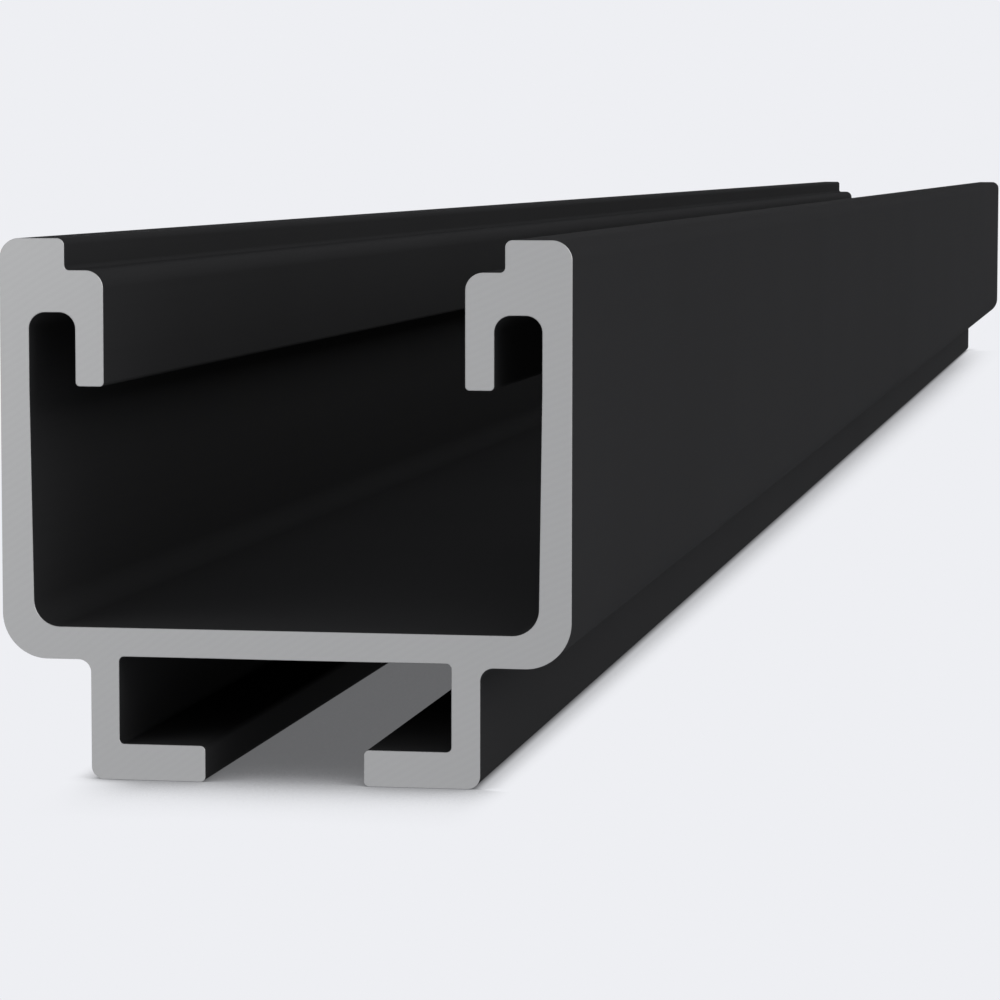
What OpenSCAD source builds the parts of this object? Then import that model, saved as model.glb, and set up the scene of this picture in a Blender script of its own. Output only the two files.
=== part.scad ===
// Solar mounting rail: one aluminium extrusion with the same cross-section from end to end.
// An open channel on top carries the panel clamps behind its two lips, and a bolt slot
// between the feet takes the bolts that hold the rail to the roof.
// X is across the rail, Y runs along it and Z is up. The feet stand on Z = 0, and the
// origin is midway along the rail, in the middle of its width.
// All lengths are in millimetres.

/* [Rail] */
// Length between the two saw cuts
rail_len = 630; // [100:10:4400]
// Width over the side walls
rail_w = 40; // [37:0.5:60]
// Height from the feet to the top of the ribs
rail_h = 37.5; // [32:0.5:80]

/* [Walls] */
// Thickness of a side wall beside the pocket
wall_t = 2.05; // [1.6:0.05:3]
// Thickness that a side wall gains between the lip and the floor
wall_taper = 0.2; // [0.1:0.05:0.6]
// Thickness of the channel floor above the bolt slot
floor_t = 2; // [1.6:0.1:4]
// Thickness that the floor gains outside the legs
haunch_t = 0.25; // [0.1:0.05:1]

/* [Ribs and lips] */
// Width of the rib along the top of each wall
rib_w = 4.6; // [3.6:0.1:5.4]
// Height of the rib above the ledge beside it
rib_rise = 2.2; // [1.2:0.1:4]
// Thickness of the ledge over the pocket
ledge_t = 2.9; // [2:0.1:4]
// Width of the pocket between the wall and the lip
pocket_w = 3.3; // [2.8:0.05:6]
// Depth of the pocket, which is how far the lip hangs down
pocket_d = 5.1; // [3:0.1:8]
// Thickness of the lip
lip_t = 2; // [1.6:0.1:3]

/* [Bolt slot] */
// Width of the slot's mouth between the feet
mouth_w = 11.2; // [8:0.1:16]
// Width of the space for the bolt head
head_w = 23.4; // [19:0.1:26]
// Height of the space for the bolt head
head_h = 6.1; // [4:0.1:10]
// Thickness of a leg beside the bolt head
leg_t = 2; // [1.6:0.1:3]
// Thickness of the feet
foot_t = 2.5; // [1.8:0.1:4]

/* [Corner radii] */
// Outer corner of a rib
crown_r = 1.4; // [0.5:0.1:2]
// Inner corner of a rib
rib_r = 0.5; // [0.2:0.05:1]
// Inside corner between a rib and its ledge
step_r = 0.35; // [0.2:0.05:0.8]
// Corner of the ledge above the lip
shoulder_r = 1.25; // [0.5:0.05:1.8]
// Corners at the lip's lower edge
lip_r = 0.3; // [0.1:0.05:0.7]
// Roof corners of the pocket
pocket_r = 1.15; // [0.3:0.05:1.3]
// Inside corners between the walls and the floor
channel_r = 1.85; // [0.5:0.05:3]
// Outer corners under the side walls
outer_r = 3.2; // [1:0.1:4]
// Inside corners between the floor and the legs
leg_r = 0.9; // [0.3:0.1:1.5]
// Inside corners of the bolt slot
slot_r = 0.35; // [0.15:0.05:0.8]
// Outer corners of the feet
foot_r = 0.9; // [0.3:0.1:1.6]
// Corners of the feet beside the slot's mouth
tip_r = 0.35; // [0.1:0.05:0.7]

/* [Hidden] */
$fn = 64;
// Overrun of every cut past the surface that it opens
over = 1;

// Heights of the bolt slot and the floor
slot_roof_z = foot_t + head_h;
floor_z = slot_roof_z + floor_t;
haunch_z = slot_roof_z - haunch_t;
// Heights of the ledge, the pocket's roof and the lip's lower edge
ledge_z = rail_h - rib_rise;
pocket_z = ledge_z - ledge_t;
lip_z = pocket_z - pocket_d;

// Distances from the middle of the rail
side_x = rail_w / 2;
rib_x = side_x - rib_w;
wall_x = side_x - wall_t;
wall_foot_x = wall_x - wall_taper;
pocket_x = wall_x - pocket_w;
lip_x = pocket_x - lip_t;
leg_x = head_w / 2 + leg_t;

// Points of the right half followed by the same points on the left, in one loop
function both_halves(pts) = concat(pts, [for (i = [len(pts) - 1:-1:0]) [-pts[i].x, pts[i].y]]);

// The child and its mirror image on the other side of the rail
module both_sides() {
    children();
    mirror([1, 0]) children();
}

// What lies between a square corner at the origin and an arc of radius r inside it. The
// arc's middle lies towards dir, such as [1, -1]. It fills an inside corner when it is
// added to the metal, and rounds an outside corner when it is cut from it.
module corner(r, dir) {
    difference() {
        translate(dir * (r - over) / 2) square(r + over, center = true);
        translate(dir * r) circle(r);
    }
}

// Outline of the walls and ribs, before anything is hollowed out
module body_outline() {
    difference() {
        translate([-side_x, haunch_z]) square([rail_w, rail_h - haunch_z]);
        both_sides() {
            translate([side_x, rail_h]) corner(crown_r, [-1, -1]);
            translate([side_x, haunch_z]) corner(outer_r, [-1, 1]);
        }
    }
}

// Outline of the legs and feet, up into the floor, with the fillets under the haunches
module base_outline() {
    difference() {
        translate([-leg_x, 0]) square([2 * leg_x, floor_z]);
        both_sides() translate([leg_x, 0]) corner(foot_r, [-1, 1]);
    }
    both_sides() translate([leg_x, haunch_z]) corner(leg_r, [1, -1]);
}

// Opening between the ribs and, below it, between the lips
module top_opening() {
    difference() {
        translate([-rib_x, ledge_z]) square([2 * rib_x, rib_rise + over]);
        both_sides() translate([rib_x, ledge_z]) corner(step_r, [-1, 1]);
    }
    translate([-lip_x, lip_z - over]) square([2 * lip_x, ledge_z - lip_z + 2 * over]);
    both_sides() {
        translate([rib_x, rail_h]) corner(rib_r, [1, -1]);
        translate([lip_x, ledge_z]) corner(shoulder_r, [1, -1]);
    }
}

// Channel with the pocket behind each lip. The walls are upright beside the pocket and
// lean in below it, down to the fillet on the floor.
module channel() {
    difference() {
        polygon(both_halves([
            [wall_foot_x, floor_z],
            [wall_foot_x, floor_z + channel_r],
            [wall_x, lip_z],
            [wall_x, pocket_z],
            [pocket_x, pocket_z],
            [pocket_x, lip_z]
        ]));
        both_sides() {
            translate([wall_foot_x, floor_z]) corner(channel_r, [-1, 1]);
            translate([wall_x, pocket_z]) corner(pocket_r, [-1, -1]);
            translate([pocket_x, pocket_z]) corner(pocket_r, [1, -1]);
        }
    }
    both_sides() {
        translate([pocket_x, lip_z]) corner(lip_r, [-1, 1]);
        translate([lip_x, lip_z]) corner(lip_r, [1, 1]);
    }
}

// Slot under the floor: the space for the bolt head and the mouth between the feet
module bolt_slot() {
    difference() {
        translate([-head_w / 2, foot_t]) square([head_w, head_h]);
        both_sides() {
            translate([head_w / 2, foot_t]) corner(slot_r, [-1, 1]);
            translate([head_w / 2, slot_roof_z]) corner(slot_r, [-1, -1]);
        }
    }
    translate([-mouth_w / 2, -over]) square([mouth_w, foot_t + 2 * over]);
    both_sides() {
        translate([mouth_w / 2, 0]) corner(tip_r, [1, 1]);
        translate([mouth_w / 2, foot_t]) corner(tip_r, [1, -1]);
    }
}

// The cross-section, with Y standing for height
module section() {
    difference() {
        union() {
            body_outline();
            base_outline();
        }
        top_opening();
        channel();
        bolt_slot();
    }
}

// The whole rail, cut square at both ends
module rail() {
    color([0.13, 0.13, 0.14])
        rotate([90, 0, 0])
            linear_extrude(rail_len, center = true)
                section();
}

rail();
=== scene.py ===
"""Looks of the solar mounting rail: the extrusion, its two finishes, and the studio around it.

Everything is in metres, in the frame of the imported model: X across the rail, Y along it, and Z
up from the surface that its feet stand on. The origin is midway along the rail.
"""

import logging
import math
from dataclasses import dataclass
from enum import Enum
from typing import Any

import bpy
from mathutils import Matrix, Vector


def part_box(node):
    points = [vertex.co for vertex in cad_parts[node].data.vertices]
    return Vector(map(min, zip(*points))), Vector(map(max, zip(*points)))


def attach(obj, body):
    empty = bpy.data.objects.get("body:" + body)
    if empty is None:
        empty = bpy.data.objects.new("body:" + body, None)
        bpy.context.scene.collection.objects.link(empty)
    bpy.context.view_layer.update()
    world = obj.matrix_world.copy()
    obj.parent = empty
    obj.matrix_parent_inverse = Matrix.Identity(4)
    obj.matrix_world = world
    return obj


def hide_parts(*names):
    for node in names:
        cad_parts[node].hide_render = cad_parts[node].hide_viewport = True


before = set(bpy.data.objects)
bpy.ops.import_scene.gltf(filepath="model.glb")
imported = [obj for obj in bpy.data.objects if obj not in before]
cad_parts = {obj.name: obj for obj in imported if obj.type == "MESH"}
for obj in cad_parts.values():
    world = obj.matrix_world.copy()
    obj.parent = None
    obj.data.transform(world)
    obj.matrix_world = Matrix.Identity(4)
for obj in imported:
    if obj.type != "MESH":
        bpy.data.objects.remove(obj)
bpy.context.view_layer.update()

MM = 0.001
# Two counts, such as the numbers of two rings, are the same when they differ by less than this
COUNT_SLACK = 0.5
log = logging.getLogger("solar_rail")

Socket = bpy.types.NodeSocket
Number = float | Socket
Range = tuple[float, float]
Inputs = dict[str | int, Any]
Colour = tuple[float, float, float]
Paint = tuple[float, float, float, float]


def paint(colour: Colour, change: float = 0.0) -> Paint:
    """Gives a colour as a socket takes it, lighter by a share of itself, or darker below 0."""
    red, green, blue = (part * (1 + change) for part in colour)
    return (red, green, blue, 1.0)


def either_side(middle: float, distance: float) -> Range:
    """Gives the two values at a distance before and after a middle one."""
    return (middle - distance, middle + distance)


class TreeWriter:
    """Adds nodes to a node tree, each with its settings and inputs in one call."""

    def __init__(self, tree: bpy.types.NodeTree) -> None:
        """Keeps the tree that the nodes go into."""
        self.tree = tree

    def add(self, kind: str, inputs: Inputs | None = None, **settings: Any) -> bpy.types.Node:
        """Adds one node.

        Args:
            kind: the node's type name.
            inputs: values or output sockets for its inputs, by name or place. A list of sockets
                goes into one input.
            settings: properties of the node itself.

        Returns:
            The new node.
        """
        node = self.tree.nodes.new(kind)
        for name, value in settings.items():
            setattr(node, name, value)
        for key, value in (inputs or {}).items():
            sources = value if isinstance(value, list) else [value]
            for source in sources:
                if isinstance(source, Socket):
                    self.join(source, node.inputs[key])
                else:
                    node.inputs[key].default_value = source
        return node

    def join(self, source: Socket, into: Socket) -> None:
        """Links an output to an input."""
        self.tree.links.new(source, into)

    def out(self, kind: str, inputs: Inputs | None = None, **settings: Any) -> Socket:
        """Adds one node in the same way as add, and gives its first output in use."""
        node = self.add(kind, inputs, **settings)
        return next(socket for socket in node.outputs if socket.enabled)

    def math(self, operation: str, *values: Number) -> Socket:
        """Adds a Math node for an operation, such as ADD, on the values, and gives its result."""
        return self.out("ShaderNodeMath", dict(enumerate(values)), operation=operation)

    def same(self, count: Number, other: Number) -> Socket:
        """Adds a node that gives 1 where two whole numbers are the same, and 0 elsewhere."""
        return self.math("COMPARE", count, other, COUNT_SLACK)

    def part(self, vector: Socket, axis: str) -> Socket:
        """Adds a node that takes a vector apart, and gives its part along one axis."""
        return self.add("ShaderNodeSeparateXYZ", {"Vector": vector}).outputs[axis]

    def weigh(self, one: Socket, other: Socket, share: float) -> Socket:
        """Adds nodes that mix two values, with a share of the first, and gives the mix."""
        rest = self.math("MULTIPLY", other, 1.0 - share)
        return self.math("ADD", self.math("MULTIPLY", one, share), rest)

    def ramp(
        self,
        value: Socket,
        ends: tuple[Number, Number] = (0.0, 1.0),
        result: tuple[Number, Number] = (0.0, 1.0),
        smooth: bool = False,
    ) -> Socket:
        """Adds a Map Range node, which carries a value over from one range to another.

        Args:
            value: the value.
            ends: the two ends of its own range.
            result: what the two ends become. A value past an end stays there.
            smooth: whether it sets out and arrives gently, and not in a straight line.

        Returns:
            The value in its new range.
        """
        return self.out(
            "ShaderNodeMapRange",
            {
                "Value": value,
                "From Min": ends[0],
                "From Max": ends[1],
                "To Min": result[0],
                "To Max": result[1],
            },
            interpolation_type="SMOOTHSTEP" if smooth else "LINEAR",
        )

    def noise(self, place: Socket, size: float, detail: float) -> Socket:
        """Adds noise with patches of a size and some layers of finer detail, and gives it."""
        inputs = {"Vector": place, "Scale": 1 / size, "Detail": detail}
        return self.out("ShaderNodeTexNoise", inputs)

    def bump(self, relief: Socket, depth: float, below: Socket | None = None) -> Socket:
        """Adds a Bump node.

        Args:
            relief: the relief, from 0 to 1.
            depth: its depth.
            below: the normals of a relief that it lies on.

        Returns:
            The normals with the relief in them.
        """
        inputs = {"Height": relief, "Distance": depth, "Strength": 1.0}
        if below is not None:
            inputs["Normal"] = below
        return self.out("ShaderNodeBump", inputs)

    def blend(self, share: Socket, low: Paint, high: Paint) -> Socket:
        """Adds a blend of two colours.

        Args:
            share: how much of the high colour shows, from 0 to 1.
            low: the colour at 0.
            high: the colour at 1.

        Returns:
            The blended colour.
        """
        mix = self.add("ShaderNodeMix", {0: share}, data_type="RGBA")
        colours = [socket for socket in mix.inputs if socket.type == "RGBA"]
        colours[0].default_value = low
        colours[1].default_value = high
        return next(socket for socket in mix.outputs if socket.type == "RGBA")


class Skin(Enum):
    """The two kinds of surface on the rail, by the name of its material."""

    BLACK = "black_anodised_skin"
    SAWN = "sawn_aluminium"


@dataclass(frozen=True)
class BlackAnodise:
    """Matte black coat on every extruded face, with faint die lines along the rail.

    Attributes:
        colour: the coat's middle tone.
        tone_spread: how much lighter and darker it gets, as a share.
        roughness: the middle roughness.
        roughness_spread: how much rougher and smoother it gets.
        gloss: the strength of its mirror reflection.
        line_pitch: the width of a die line.
        line_length: the length over which a die line changes.
        line_depth: the depth of a die line.
        line_detail: the layers of finer lines.
        line_share: how much of the tone comes from the lines. The rest comes from the clouds.
        grain_size: the size of the etched grain.
        grain_depth: the depth of the grain.
        grain_detail: the layers of finer grain.
        cloud_size: the size of the clouds in the dye.
        cloud_detail: the layers of smaller clouds.
    """

    colour: Colour = (0.0237, 0.0237, 0.0241)
    tone_spread: float = 0.12
    roughness: float = 0.85
    roughness_spread: float = 0.08
    gloss: float = 0.002
    line_pitch: float = 0.3 * MM
    line_length: float = 200 * MM
    line_depth: float = 0.004 * MM
    line_detail: float = 3.0
    line_share: float = 0.5
    grain_size: float = 0.08 * MM
    grain_depth: float = 0.001 * MM
    grain_detail: float = 2.0
    cloud_size: float = 30 * MM
    cloud_detail: float = 2.0

    def material(self) -> bpy.types.Material:
        """Makes the material.

        Returns:
            The new material.
        """
        made = bpy.data.materials.new(Skin.BLACK.value)
        made.use_nodes = True
        add = TreeWriter(made.node_tree)
        shader = made.node_tree.nodes["Principled BSDF"].inputs
        place = add.add("ShaderNodeTexCoord").outputs["Object"]

        drawn = (1 / self.line_pitch, 1 / self.line_length, 1 / self.line_pitch)
        along = add.out("ShaderNodeMapping", {"Vector": place, "Scale": drawn})
        lines = add.noise(along, 1.0, self.line_detail)
        grain = add.noise(place, self.grain_size, self.grain_detail)
        clouds = add.noise(place, self.cloud_size, self.cloud_detail)

        tone = add.weigh(lines, clouds, self.line_share)
        dark, light = paint(self.colour, -self.tone_spread), paint(self.colour, self.tone_spread)
        shader["Base Color"].default_value = paint(self.colour)
        add.join(add.blend(tone, dark, light), shader["Base Color"])
        roughness = either_side(self.roughness, self.roughness_spread)
        add.join(add.ramp(lines, result=roughness), shader["Roughness"])
        shader["Specular IOR Level"].default_value = self.gloss
        etched = add.bump(grain, self.grain_depth)
        add.join(add.bump(lines, self.line_depth, below=etched), shader["Normal"])
        return made


@dataclass(frozen=True)
class SawnAluminium:
    """Bare metal of the two cut ends, with the faint arcs that the saw's teeth left.

    Attributes:
        colour: the metal's middle tone.
        tone_spread: how much lighter and darker it gets, as a share.
        roughness: the middle roughness.
        roughness_spread: how much rougher and smoother it gets.
        blade_x: where the blade's axle was, across the rail.
        blade_z: its height.
        mark_pitch: the distance between two marks.
        mark_depth: the depth of a mark.
        mark_waver: how far the marks stray from true arcs.
        mark_share: how much of the tone comes from the marks. The rest comes from the smears.
        waver_detail: the layers of finer straying.
        waver_scale: how finely the marks stray.
        smear_size: the size of the smears.
        smear_detail: the layers of smaller smears.
        wave_radians: how far a wave texture turns in one unit at a scale of 1.
    """

    colour: Colour = (0.366, 0.366, 0.363)
    tone_spread: float = 0.02
    roughness: float = 0.36
    roughness_spread: float = 0.02
    blade_x: float = 90 * MM
    blade_z: float = -140 * MM
    mark_pitch: float = 0.5 * MM
    mark_depth: float = 0.0004 * MM
    mark_waver: float = 3.0
    mark_share: float = 0.4
    waver_detail: float = 3.0
    waver_scale: float = 0.4
    smear_size: float = 6 * MM
    smear_detail: float = 3.0
    wave_radians: float = 20.0

    def material(self) -> bpy.types.Material:
        """Makes the material.

        Returns:
            The new material.
        """
        made = bpy.data.materials.new(Skin.SAWN.value)
        made.use_nodes = True
        add = TreeWriter(made.node_tree)
        shader = made.node_tree.nodes["Principled BSDF"].inputs
        place = add.add("ShaderNodeTexCoord").outputs["Object"]

        # Rings round the blade's axle, uneven as the blade was fed through the metal
        axle = (-self.blade_x, 0.0, -self.blade_z)
        around = add.out("ShaderNodeMapping", {"Vector": place, "Location": axle})
        marks = add.out(
            "ShaderNodeTexWave",
            {
                "Vector": around,
                "Scale": math.tau / self.wave_radians / self.mark_pitch,
                "Distortion": self.mark_waver,
                "Detail": self.waver_detail,
                "Detail Scale": self.waver_scale,
            },
            wave_type="RINGS",
            rings_direction="Y",
        )
        smears = add.noise(place, self.smear_size, self.smear_detail)

        tone = add.weigh(marks, smears, self.mark_share)
        dull, bright = paint(self.colour, -self.tone_spread), paint(self.colour, self.tone_spread)
        shader["Base Color"].default_value = paint(self.colour)
        add.join(add.blend(tone, dull, bright), shader["Base Color"])
        smoothest, roughest = either_side(self.roughness, self.roughness_spread)
        add.join(add.ramp(tone, result=(roughest, smoothest)), shader["Roughness"])
        shader["Metallic"].default_value = 1.0
        add.join(add.bump(marks, self.mark_depth), shader["Normal"])
        return made


@dataclass(frozen=True)
class Corner:
    """One corner of the section, with the radius of the arc that rounds it."""

    x: float
    z: float
    radius: float = 0.0

    def steps(self, slack: float) -> int:
        """Counts the chords of the corner's arc.

        Args:
            slack: how far the middle of a chord may lie from the true arc.

        Returns:
            The number of chords in a quarter turn.
        """
        if self.radius <= slack:
            return 1
        chord_angle = 2 * math.acos(1 - slack / self.radius)
        return math.ceil(math.pi / 2 / chord_angle)

    def mirrored(self) -> "Corner":
        """Gives the same corner on the other side of the rail."""
        return Corner(-self.x, self.z, self.radius)


@dataclass(frozen=True)
class RailSection:
    """The rail's cross-section, the same on both sides of its middle.

    Attributes:
        width: over the side walls.
        height: from the feet to the top of the ribs.
        wall: thickness of a side wall beside the pocket.
        wall_taper: thickness that a side wall gains between the lip and the floor.
        floor: thickness of the channel's floor above the bolt slot.
        haunch: thickness that the floor gains outside the legs.
        rib_width: width of the rib along the top of each wall.
        rib_rise: height of the rib above the ledge beside it.
        ledge: thickness of the ledge over the pocket.
        pocket_width: width of the pocket between the wall and the lip.
        pocket_depth: how far the lip hangs down.
        lip: thickness of the lip.
        mouth: width of the bolt slot's mouth between the feet.
        head_width: width of the space for the bolt head.
        head_height: height of the space for the bolt head.
        leg: thickness of a leg beside the bolt head.
        foot: thickness of the feet.
        crown_radius: outer corner of a rib.
        rib_radius: inner corner of a rib.
        step_radius: inside corner between a rib and its ledge.
        shoulder_radius: corner of the ledge above the lip.
        lip_radius: corners at the lip's lower edge.
        pocket_radius: roof corners of the pocket.
        channel_radius: inside corners between the walls and the floor.
        outer_radius: outer corners under the side walls.
        leg_radius: inside corners between the floor and the legs.
        slot_radius: inside corners of the bolt slot.
        foot_radius: outer corners of the feet.
        tip_radius: corners of the feet beside the slot's mouth.
    """

    width: float
    height: float
    wall: float = 2.05 * MM
    wall_taper: float = 0.2 * MM
    floor: float = 2 * MM
    haunch: float = 0.25 * MM
    rib_width: float = 4.6 * MM
    rib_rise: float = 2.2 * MM
    ledge: float = 2.9 * MM
    pocket_width: float = 3.3 * MM
    pocket_depth: float = 5.1 * MM
    lip: float = 2 * MM
    mouth: float = 11.2 * MM
    head_width: float = 23.4 * MM
    head_height: float = 6.1 * MM
    leg: float = 2 * MM
    foot: float = 2.5 * MM
    crown_radius: float = 1.4 * MM
    rib_radius: float = 0.5 * MM
    step_radius: float = 0.35 * MM
    shoulder_radius: float = 1.25 * MM
    lip_radius: float = 0.3 * MM
    pocket_radius: float = 1.15 * MM
    channel_radius: float = 1.85 * MM
    outer_radius: float = 3.2 * MM
    leg_radius: float = 0.9 * MM
    slot_radius: float = 0.35 * MM
    foot_radius: float = 0.9 * MM
    tip_radius: float = 0.35 * MM

    @property
    def leg_x(self) -> float:
        """Distance from the middle to the outer side of a leg and its foot."""
        return self.head_width / 2 + self.leg

    def right_half(self) -> list[Corner]:
        """Lists the corners right of the middle, from the slot's roof round to the channel.

        Returns:
            The corners in order.
        """
        side = self.width / 2
        roof_z = self.foot + self.head_height
        floor_z = roof_z + self.floor
        haunch_z = roof_z - self.haunch
        ledge_z = self.height - self.rib_rise
        pocket_z = ledge_z - self.ledge
        lip_z = pocket_z - self.pocket_depth
        rib_x = side - self.rib_width
        wall_x = side - self.wall
        wall_foot_x = wall_x - self.wall_taper
        pocket_x = wall_x - self.pocket_width
        lip_x = pocket_x - self.lip
        head_x = self.head_width / 2
        tip_x = self.mouth / 2
        return [
            Corner(head_x, roof_z, self.slot_radius),
            Corner(head_x, self.foot, self.slot_radius),
            Corner(tip_x, self.foot, self.tip_radius),
            Corner(tip_x, 0.0, self.tip_radius),
            Corner(self.leg_x, 0.0, self.foot_radius),
            Corner(self.leg_x, haunch_z, self.leg_radius),
            Corner(side, haunch_z, self.outer_radius),
            Corner(side, self.height, self.crown_radius),
            Corner(rib_x, self.height, self.rib_radius),
            Corner(rib_x, ledge_z, self.step_radius),
            Corner(lip_x, ledge_z, self.shoulder_radius),
            Corner(lip_x, lip_z, self.lip_radius),
            Corner(pocket_x, lip_z, self.lip_radius),
            Corner(pocket_x, pocket_z, self.pocket_radius),
            Corner(wall_x, pocket_z, self.pocket_radius),
            Corner(wall_x, lip_z),
            Corner(wall_foot_x, floor_z + self.channel_radius),
            Corner(wall_foot_x, floor_z, self.channel_radius),
        ]

    def corners(self) -> list[Corner]:
        """Lists all corners of the section in one closed loop."""
        right = self.right_half()
        return right + [corner.mirrored() for corner in reversed(right)]


@dataclass
class ExtrudedRail:
    """The rail itself: its section swept from one saw cut to the other.

    Attributes:
        section: the cross-section.
        length: the distance between the two saw cuts.
        black: the material of the extruded faces.
        sawn: the material of the cut ends.
        name: the piece's name.
        ring_pitch: the distance between two rings of the mesh.
        edge_break: how far the edges of the cuts are broken.
        arc_slack: how far the middle of a chord may lie from a corner's true arc.
        weld: the distance within which points are made one.
        crease: the angle, in radians, from which an edge shows as a sharp one.
        cut_facing: how squarely a face must look along the rail to be bare metal, from 0 to 1.
    """

    section: RailSection
    length: float
    black: bpy.types.Material
    sawn: bpy.types.Material
    name: str = "extruded_rail"
    ring_pitch: float = 10 * MM
    edge_break: float = 0.03 * MM
    arc_slack: float = 0.002 * MM
    weld: float = 0.002 * MM
    crease: float = math.radians(30)
    cut_facing: float = 0.1

    def ring_count(self) -> int:
        """Counts the rings: one more than the even bays between them, and one more at each end."""
        bays = round(self.length / self.ring_pitch)
        return (bays + 1) + 2

    def outline(self) -> bpy.types.Mesh:
        """Makes the section's corners and sides, with each corner's radius and steps kept on it.

        Returns:
            A mesh of one closed loop of edges, with the section's height along Y.
        """
        corners = self.section.corners()
        mesh = bpy.data.meshes.new(f"{self.name}_outline")
        sides = [(i, (i + 1) % len(corners)) for i in range(len(corners))]
        mesh.from_pydata([(corner.x, corner.z, 0.0) for corner in corners], sides, [])
        radius = mesh.attributes.new("radius", "FLOAT", "POINT")
        radius.data.foreach_set("value", [corner.radius for corner in corners])
        steps = mesh.attributes.new("steps", "INT", "POINT")
        steps.data.foreach_set("value", [corner.steps(self.arc_slack) for corner in corners])
        return mesh

    def round_corners(self, add: TreeWriter, outline: Socket) -> Socket:
        """Writes the nodes that make the outline's sharp corners into arcs.

        Args:
            add: the writer of the tree.
            outline: the mesh of the outline.

        Returns:
            The section as a closed curve.
        """
        loop = add.out("GeometryNodeMeshToCurve", {"Mesh": outline})
        radius = add.out("GeometryNodeInputNamedAttribute", {"Name": "radius"}, data_type="FLOAT")
        steps = add.out("GeometryNodeInputNamedAttribute", {"Name": "steps"}, data_type="INT")
        arcs = {"Curve": loop, "Radius": radius, "Count": steps}
        return add.out("GeometryNodeFilletCurve", arcs, mode="POLY")

    def ring_places(self, add: TreeWriter, count: Socket, inner: Socket, step: Socket) -> Socket:
        """Writes the nodes that make the upright line that the section follows.

        Its points are evenly spaced, with one more beyond each end for the broken edge.

        Args:
            add: the writer of the tree.
            count: the number of points.
            inner: the distance from the rail's middle to the last of the even points.
            step: the distance from there to the outermost point.

        Returns:
            The line as a curve.
        """
        last = add.math("SUBTRACT", count, 1.0)
        line = add.out("GeometryNodeCurvePrimitiveLine")
        points = add.out("GeometryNodeResampleCurve", {"Curve": line, "Count": count})
        index = add.out("GeometryNodeInputIndex")
        even_ends = (1.0, add.math("SUBTRACT", last, 1.0))
        even = add.ramp(index, even_ends, result=(add.math("MULTIPLY", inner, -1.0), inner))
        end = add.math("SUBTRACT", add.same(index, last), add.same(index, 0.0))
        height = add.math("ADD", even, add.math("MULTIPLY", end, step))
        place = add.out("ShaderNodeCombineXYZ", {"Z": height})
        return add.out("GeometryNodeSetPosition", {"Geometry": points, "Position": place})

    def break_edges(self, add: TreeWriter, tube: Socket, inner: Socket, depth: Socket) -> Socket:
        """Writes the nodes that draw the end rings in, square to the surface beside them.

        Args:
            add: the writer of the tree.
            tube: the swept section.
            inner: the distance from the rail's middle to the ring beside an end ring.
            depth: how far an end ring steps in.

        Returns:
            The tube with its edges broken.
        """
        height = add.part(add.out("GeometryNodeInputPosition"), "Z")
        between = add.math("ADD", inner, add.math("MULTIPLY", depth, 0.5))
        at_end = add.math("GREATER_THAN", add.math("ABSOLUTE", height), between)
        inward = add.out(
            "ShaderNodeVectorMath",
            {0: add.out("GeometryNodeInputNormal"), "Scale": add.math("MULTIPLY", depth, -1.0)},
            operation="SCALE",
        )
        moved = {"Geometry": tube, "Selection": at_end, "Offset": inward}
        return add.out("GeometryNodeSetPosition", moved)

    def close_ends(self, add: TreeWriter, tube: Socket, half: Socket, weld: Socket) -> Socket:
        """Writes the nodes that fill both ends from the upper end ring, and weld them on.

        Args:
            add: the writer of the tree.
            tube: the tube, open at both ends.
            half: half the rail's length.
            weld: the distance within which points are made one.

        Returns:
            The closed solid.
        """
        edge_faces = add.add("GeometryNodeInputMeshEdgeNeighbors").outputs["Face Count"]
        height = add.part(add.out("GeometryNodeInputPosition"), "Z")
        is_upper = add.math("GREATER_THAN", height, 0.0)
        upper_ring = add.math("MULTIPLY", add.same(edge_faces, 1.0), is_upper)
        rim = add.out("GeometryNodeMeshToCurve", {"Mesh": tube, "Selection": upper_ring})
        cap = add.out("GeometryNodeFillCurve", {"Curve": rim}, mode="TRIANGLES")
        up = add.out("ShaderNodeCombineXYZ", {"Z": half})
        down = add.out("ShaderNodeCombineXYZ", {"Z": add.math("MULTIPLY", half, -1.0)})
        upper = add.out("GeometryNodeTransform", {"Geometry": cap, "Translation": up})
        lower = add.out("GeometryNodeTransform", {"Geometry": cap, "Translation": down})
        lower = add.out("GeometryNodeFlipFaces", {"Mesh": lower})
        parts = add.out("GeometryNodeJoinGeometry", {"Geometry": [tube, upper, lower]})
        return add.out("GeometryNodeMergeByDistance", {"Geometry": parts, "Distance": weld})

    def dress(self, add: TreeWriter, solid: Socket, black: Socket, sawn: Socket) -> Socket:
        """Writes the nodes that lay the solid along Y and give it its materials.

        The bare metal is told from the coat by the way that it faces.

        Args:
            add: the writer of the tree.
            solid: the upright solid.
            black: the material of the extruded faces.
            sawn: the material of the cut ends.

        Returns:
            The finished rail.
        """
        quarter_turn = (math.pi / 2, 0.0, 0.0)
        laid = add.out("GeometryNodeTransform", {"Geometry": solid, "Rotation": quarter_turn})
        facing = add.math("ABSOLUTE", add.part(add.out("GeometryNodeInputNormal"), "Y"))
        is_cut = add.math("GREATER_THAN", facing, self.cut_facing)
        real = add.out("GeometryNodeRealizeInstances", {"Geometry": laid})
        coated = add.out("GeometryNodeSetMaterial", {"Geometry": real, "Material": black})
        bare = {"Geometry": coated, "Selection": is_cut, "Material": sawn}
        return add.out("GeometryNodeSetMaterial", bare)

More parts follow.
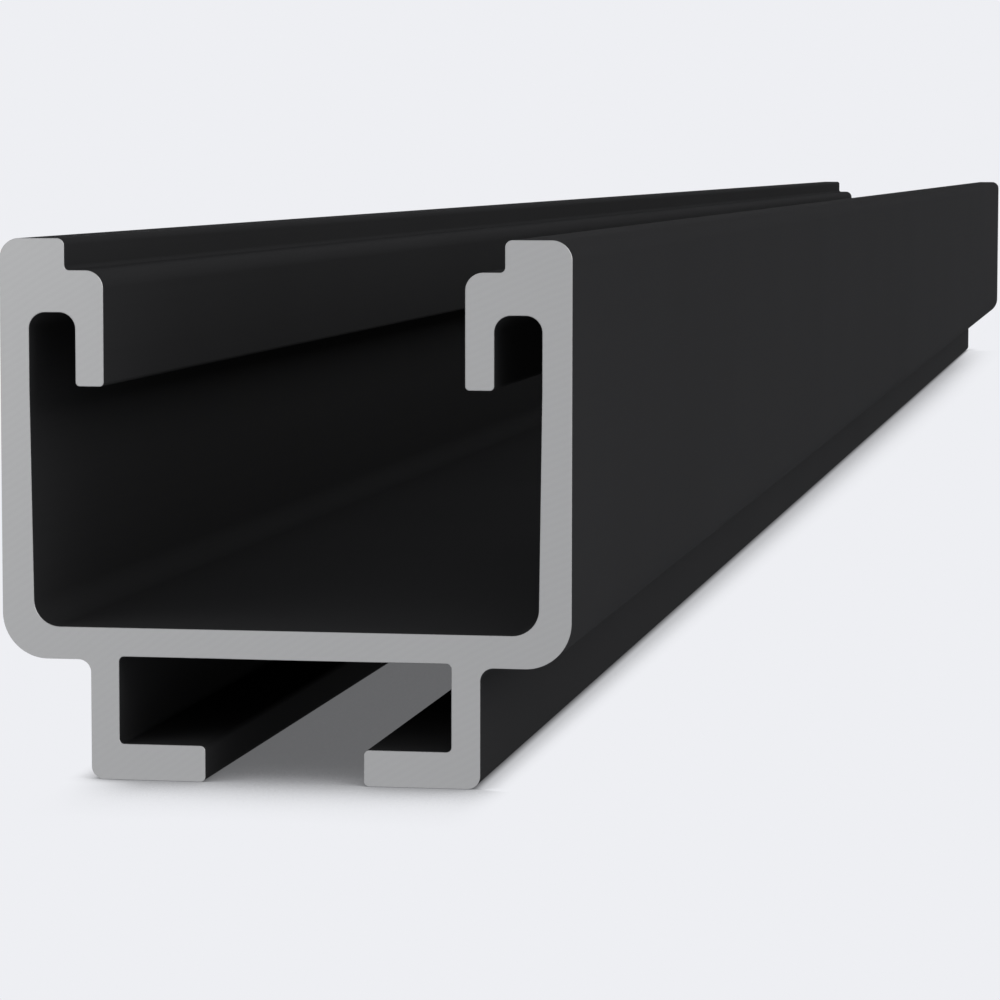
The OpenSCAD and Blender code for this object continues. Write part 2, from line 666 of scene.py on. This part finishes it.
    def tree(self) -> bpy.types.NodeTree:
        """Builds the node tree that rounds the outline, sweeps it, and closes and dresses it.

        Returns:
            The tree, whose named inputs are the sizes and the two materials.
        """
        tree = bpy.data.node_groups.new("extrude_section", "GeometryNodeTree")
        inputs = {
            "Geometry": "NodeSocketGeometry",
            "Length": "NodeSocketFloat",
            "Rings": "NodeSocketInt",
            "Edge Break": "NodeSocketFloat",
            "Weld": "NodeSocketFloat",
            "Black": "NodeSocketMaterial",
            "Sawn": "NodeSocketMaterial",
        }
        for name, kind in inputs.items():
            tree.interface.new_socket(name, in_out="INPUT", socket_type=kind)
        tree.interface.new_socket("Geometry", in_out="OUTPUT", socket_type="NodeSocketGeometry")
        add = TreeWriter(tree)
        given = add.add("NodeGroupInput").outputs
        half = add.math("MULTIPLY", given["Length"], 0.5)
        inner = add.math("SUBTRACT", half, given["Edge Break"])
        section = self.round_corners(add, given["Geometry"])
        path = self.ring_places(add, given["Rings"], inner, given["Edge Break"])
        tube = add.out("GeometryNodeCurveToMesh", {"Curve": path, "Profile Curve": section})
        tube = self.break_edges(add, tube, inner, given["Edge Break"])
        solid = self.close_ends(add, tube, half, given["Weld"])
        rail = self.dress(add, solid, given["Black"], given["Sawn"])
        add.add("NodeGroupOutput", {"Geometry": rail})
        return tree

    def sweep(self) -> bpy.types.Mesh:
        """Runs the node tree on the outline, and turns the result into a plain mesh.

        Returns:
            The rail's mesh, with its place in the frame.
        """
        source = bpy.data.objects.new(f"{self.name}_source", self.outline())
        bpy.context.scene.collection.objects.link(source)
        tree = self.tree()
        extrude = source.modifiers.new("extrude", "NODES")
        extrude.node_group = tree
        values = {
            "Length": self.length,
            "Rings": self.ring_count(),
            "Edge Break": self.edge_break,
            "Weld": self.weld,
            "Black": self.black,
            "Sawn": self.sawn,
        }
        for item in tree.interface.items_tree:
            if item.name in values:
                extrude[item.identifier] = values[item.name]
        graph = bpy.context.evaluated_depsgraph_get()
        mesh = bpy.data.meshes.new_from_object(source.evaluated_get(graph), depsgraph=graph)
        source.modifiers.remove(extrude)
        bpy.data.objects.remove(source)

        # Set Material leaves an empty slot ahead of the two materials
        mesh.materials.pop(index=0)
        mesh.name = self.name
        return mesh

    def build(self) -> bpy.types.Object:
        """Makes the rail of its mesh, so that the arcs look round and the flats stay flat.

        Returns:
            The finished rail.
        """
        mesh = self.sweep()
        mesh.polygons.foreach_set("use_smooth", [True] * len(mesh.polygons))
        mesh.set_sharp_from_angle(angle=self.crease)
        rail = bpy.data.objects.new(self.name, mesh)
        bpy.context.scene.collection.objects.link(rail)
        flats = rail.modifiers.new("flat_faces_stay_flat", "WEIGHTED_NORMAL")
        flats.mode = "FACE_AREA"
        flats.keep_sharp = True
        return rail


@dataclass(frozen=True)
class SoftLamp:
    """One broad, distant lamp.

    Attributes:
        name: the lamp's name.
        azimuth: where its light comes from, in degrees: 0 is -Y, the camera's side, and 90 is +X.
        elevation: how high it comes from, in degrees.
        level: what a white surface renders at that faces the lamp squarely.
        spread: how wide the lamp looks from the rail, in degrees.
        casts_shadow: whether the rail stands in its own light.
    """

    name: str
    azimuth: float
    elevation: float
    level: float
    spread: float = 50.0
    casts_shadow: bool = True

    def hang(self) -> bpy.types.Object:
        """Makes the lamp and turns it towards the rail.

        Returns:
            The lamp.
        """
        light = bpy.data.lights.new(self.name, "SUN")
        light.energy = math.pi * self.level
        light.angle = math.radians(self.spread)
        light.use_shadow = self.casts_shadow
        turn, rise = math.radians(self.azimuth), math.radians(self.elevation)
        away = math.cos(rise)
        source = Vector((math.sin(turn) * away, -math.cos(turn) * away, math.sin(rise)))
        lamp = bpy.data.objects.new(self.name, light)
        lamp.rotation_euler = source.to_track_quat("Z", "Y").to_euler()
        bpy.context.scene.collection.objects.link(lamp)
        return lamp


@dataclass(frozen=True)
class ShadowKind:
    """How one stretch of the painted contact shadow darkens towards the rail.

    Attributes:
        reach: how far from the rail it starts.
        onset: how late it sets in on the way there.
        strength: how fast it then deepens.
        cut: the faintest share of it that is left out, so that it ends in the plain floor.
        samples: how many directions it looks in for the rail, at each place.
    """

    reach: float
    onset: float
    strength: float
    cut: float = 0.0
    samples: int = 8

    def light(self, add: TreeWriter, reach: Socket | None = None) -> Socket:
        """Writes the nodes that say how much light is left at each place.

        Args:
            add: the writer of the floor's material.
            reach: a reach that changes from place to place, instead of the fixed one.

        Returns:
            The share of the light, from 0 to 1.
        """
        distance = {"Distance": self.reach if reach is None else reach}
        near = add.add("ShaderNodeAmbientOcclusion", distance, samples=self.samples)
        hidden = add.math("SUBTRACT", 1.0, near.outputs["AO"])
        blocked = add.math("POWER", hidden, self.onset)
        left = add.math("POWER", add.math("SUBTRACT", 1.0, blocked), self.strength)
        return add.math("MINIMUM", add.math("DIVIDE", left, 1.0 - self.cut), 1.0)


@dataclass(frozen=True)
class ContactShadow:
    """The painted shadow around the rail's feet: the floor's own glow, as seen, darkens where the
    rail is near.

    Under the rail and in front of its ends the shadow is wide. Beside the feet it is a narrow
    band, which widens and deepens from the front end on, and fades out over the last stretch to
    the back end. The one passes into the other at the outer edge of the feet: sharply along the
    rail, where the foot hides it, and softly in front of an end, over more of the floor on the
    left than on the right.

    Attributes:
        foot_x: the distance from the rail's middle to the outer edge of its feet.
        end_y: the distance from the rail's middle to its ends.
        under: the wide shadow.
        beside: the narrow band, with the reach that it has at the front end.
        widest_reach: the band's reach where it is widest.
        widest_from: where it gets as wide as that, from the back end.
        least_light: the least light that the band leaves, at the front end and at the back end.
        fade: where the band starts to fade out and where it is gone, from the back end.
        sharp_edge: where the two shadows meet along the rail, from the outer edge of the foot.
        soft_left: where they meet in front of an end, from the same edge of the left foot.
        soft_right: the same for the right foot.
        turn: where that edge turns from sharp to soft, from each end.
        deepest: the share of the light that the shadow takes where it is deepest.
    """

    foot_x: float
    end_y: float
    under: ShadowKind = ShadowKind(reach=18 * MM, onset=1.67, strength=3.61, cut=0.024)
    beside: ShadowKind = ShadowKind(reach=2.02 * MM, onset=1.79, strength=2.87)
    widest_reach: float = 8.3 * MM
    widest_from: float = -165 * MM
    least_light: Range = (0.551, 0.256)
    fade: Range = (-90 * MM, 55 * MM)
    sharp_edge: Range = (-0.6 * MM, 0.2 * MM)
    soft_left: Range = (-4.62 * MM, 1.57 * MM)
    soft_right: Range = (-0.46 * MM, 2.4 * MM)
    turn: Range = (-0.6 * MM, 0.8 * MM)
    deepest: float = 0.86

    def from_end(self, stretch: Range) -> Range:
        """Gives a stretch that is counted from an end, counted from the rail's middle instead."""
        return (self.end_y + stretch[0], self.end_y + stretch[1])

    def is_beside(self, add: TreeWriter, across: Socket, along: Socket) -> Socket:
        """Writes the nodes that tell the band beside the feet from the wide shadow.

        Args:
            add: the writer of the floor's material.
            across: the place across the rail.
            along: the place along the rail.

        Returns:
            0 in the wide shadow, 1 beside the rail, and between them where the two meet.
        """
        ahead = add.ramp(add.math("ABSOLUTE", along), self.from_end(self.turn), smooth=True)
        on_right = add.math("GREATER_THAN", across, 0.0)
        edges = []
        for sharp, left, right in zip(self.sharp_edge, self.soft_left, self.soft_right):
            soft = add.ramp(on_right, result=(self.foot_x + left, self.foot_x + right))
            edges.append(add.ramp(ahead, result=(self.foot_x + sharp, soft)))
        return add.ramp(add.math("ABSOLUTE", across), (edges[0], edges[1]), smooth=True)

    def band(self, add: TreeWriter, along: Socket) -> Socket:
        """Writes the nodes that say how much light the band beside the feet leaves.

        Args:
            add: the writer of the floor's material.
            along: the place along the rail.

        Returns:
            The share of the light, from 0 to 1.
        """
        widening = (-self.end_y, self.end_y + self.widest_from)
        reach = add.ramp(along, widening, (self.beside.reach, self.widest_reach))
        least = add.ramp(along, (-self.end_y, self.end_y), self.least_light)
        faded = add.ramp(along, self.from_end(self.fade), smooth=True)
        left = add.math("MAXIMUM", self.beside.light(add, reach), least)
        return add.ramp(faded, result=(left, 1.0))

    def light(self, add: TreeWriter) -> Socket:
        """Writes the nodes that say how much light is left at each place on the floor.

        Args:
            add: the writer of the floor's material.

        Returns:
            The share of the light, from 1 - deepest to 1.
        """
        place = add.add("ShaderNodeTexCoord").outputs["Object"]
        across, along = add.part(place, "X"), add.part(place, "Y")
        is_beside = self.is_beside(add, across, along)
        left = add.ramp(is_beside, result=(self.under.light(add), self.band(add, along)))
        return add.math("ADD", add.math("MULTIPLY", left, self.deepest), 1.0 - self.deepest)


@dataclass(frozen=True)
class PhotoCamera:
    """The camera, where the photograph was taken from.

    Attributes:
        focal_length: the lens's, in millimetres.
        sensor_width: the sensor's, in millimetres.
        nearest: the nearest that it sees.
        farthest: the farthest that it sees.
        place: where it stands.
        tilt: how far it looks up from straight down, in degrees.
        lean: how far it leans to one side, in degrees.
        turn: how far it turns to the left from looking along the rail, in degrees.
    """

    focal_length: float = 143.55
    sensor_width: float = 36.0
    nearest: float = 0.01
    farthest: float = 200.0
    place: tuple[float, float, float] = (0.06044, -0.58086, 0.04316)
    tilt: float = 85.07
    lean: float = -0.054
    turn: float = 9.69

    def set_up(self) -> bpy.types.Object:
        """Makes the camera and lets the scene be seen through it.

        Returns:
            The camera.
        """
        lens = bpy.data.cameras.new("camera")
        lens.lens = self.focal_length
        lens.sensor_width = self.sensor_width
        lens.clip_start = self.nearest
        lens.clip_end = self.farthest
        camera = bpy.data.objects.new("camera", lens)
        camera.location = self.place
        camera.rotation_euler = [math.radians(angle) for angle in (self.tilt, self.lean, self.turn)]
        bpy.context.scene.collection.objects.link(camera)
        bpy.context.scene.camera = camera
        return camera


@dataclass(frozen=True)
class Studio:
    """Pale floor, soft lamps, pale surroundings and the camera.

    Attributes:
        shadow: the rail's painted shadow on the floor.
        pale: the colour of the floor and of the surroundings.
        floor_size: the length of the floor's sides.
        floor_z: the floor's height.
        floor_glow: the share of its own glow in the light that the floor throws on the rail.
        world_light: how strongly the surroundings light the rail, against how bright they look.
        lamps: the lamps.
        camera: the camera.
    """

    shadow: ContactShadow
    pale: Colour = (0.855, 0.863, 0.896)
    floor_size: float = 60.0
    floor_z: float = -0.02 * MM
    floor_glow: float = 0.14
    world_light: float = 0.72
    lamps: tuple[SoftLamp, ...] = (
        SoftLamp("right_wash", azimuth=90, elevation=30, level=0.25),
        SoftLamp("left_front", azimuth=315, elevation=8, level=0.45),
        SoftLamp("right_fill", azimuth=90, elevation=0, level=0.11, casts_shadow=False),
    )
    camera: PhotoCamera = PhotoCamera()

    def mirrored(self, add: TreeWriter) -> Socket:
        """Writes the nodes that give 1 where a glossy or transmitted ray looks, and else 0."""
        path = add.add("ShaderNodeLightPath").outputs
        return add.math("MAXIMUM", path["Is Glossy Ray"], path["Is Transmission Ray"])

    def seen(self, add: TreeWriter) -> Socket:
        """Writes the nodes that give 1 where the camera looks, also by a mirror, and else 0."""
        path = add.add("ShaderNodeLightPath").outputs
        return add.math("MAXIMUM", path["Is Camera Ray"], self.mirrored(add))

    def floor_material(self) -> bpy.types.Material:
        """Makes the floor's material: pale to the eye, with the painted shadow, and pale as a
        reflector.

        Returns:
            The new material.
        """
        made = bpy.data.materials.new("pale_floor")
        made.use_nodes = True
        made.node_tree.nodes.clear()
        add = TreeWriter(made.node_tree)
        pale = paint(self.pale)
        # Painted shadow: the floor's glow as seen is darkened where the rail is near, but not in
        # mirrors
        light = add.math("MAXIMUM", self.shadow.light(add), self.mirrored(add))
        looks = add.out("ShaderNodeEmission", {"Color": pale, "Strength": light})
        matte = add.out("ShaderNodeBsdfDiffuse", {"Color": pale})
        glow = add.out("ShaderNodeEmission", {"Color": pale})
        reflector = add.out("ShaderNodeMixShader", {0: self.floor_glow, 1: matte, 2: glow})
        both = add.out("ShaderNodeMixShader", {0: self.seen(add), 1: reflector, 2: looks})
        add.add("ShaderNodeOutputMaterial", {"Surface": both})
        return made

    def floor(self) -> bpy.types.Object:
        """Lays the floor under the feet, a hair lower, so that no two faces lie in one plane.

        Returns:
            The floor.
        """
        half = self.floor_size / 2
        corners = [(-half, -half), (half, -half), (half, half), (-half, half)]
        mesh = bpy.data.meshes.new("studio_floor")
        mesh.from_pydata([(x, y, self.floor_z) for x, y in corners], [], [(0, 1, 2, 3)])
        mesh.materials.append(self.floor_material())
        floor = bpy.data.objects.new("studio_floor", mesh)
        bpy.context.scene.collection.objects.link(floor)
        return floor

    def world(self) -> None:
        """Surrounds the scene with the floor's own pale colour, and lights it from there."""
        world = bpy.data.worlds.new("pale_surroundings")
        bpy.context.scene.world = world
        world.use_nodes = True
        add = TreeWriter(world.node_tree)
        background = world.node_tree.nodes["Background"].inputs
        background["Color"].default_value = paint(self.pale)
        strength = add.ramp(self.seen(add), result=(self.world_light, 1.0))
        add.join(strength, background["Strength"])

    def build(self) -> None:
        """Sets up the floor, the surroundings, the lamps and the camera."""
        self.floor()
        self.world()
        for lamp in self.lamps:
            lamp.hang()
        self.camera.set_up()


def main() -> None:
    """Builds the rail and the studio, and ties the rail to the frame."""
    logging.basicConfig(level=logging.INFO, format="%(message)s")
    low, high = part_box("rail")
    section = RailSection(width=high.x - low.x, height=high.z - low.z)
    rail = ExtrudedRail(
        section,
        length=high.y - low.y,
        black=BlackAnodise().material(),
        sawn=SawnAluminium().material(),
    )
    piece = rail.build()
    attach(piece, "root")
    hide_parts("rail")
    log.info("%s: %d faces", piece.name, len(piece.data.polygons))
    Studio(ContactShadow(foot_x=section.leg_x, end_y=rail.length / 2)).build()
    bpy.context.scene.view_settings.view_transform = "Standard"


if __name__ == "__main__":
    main()
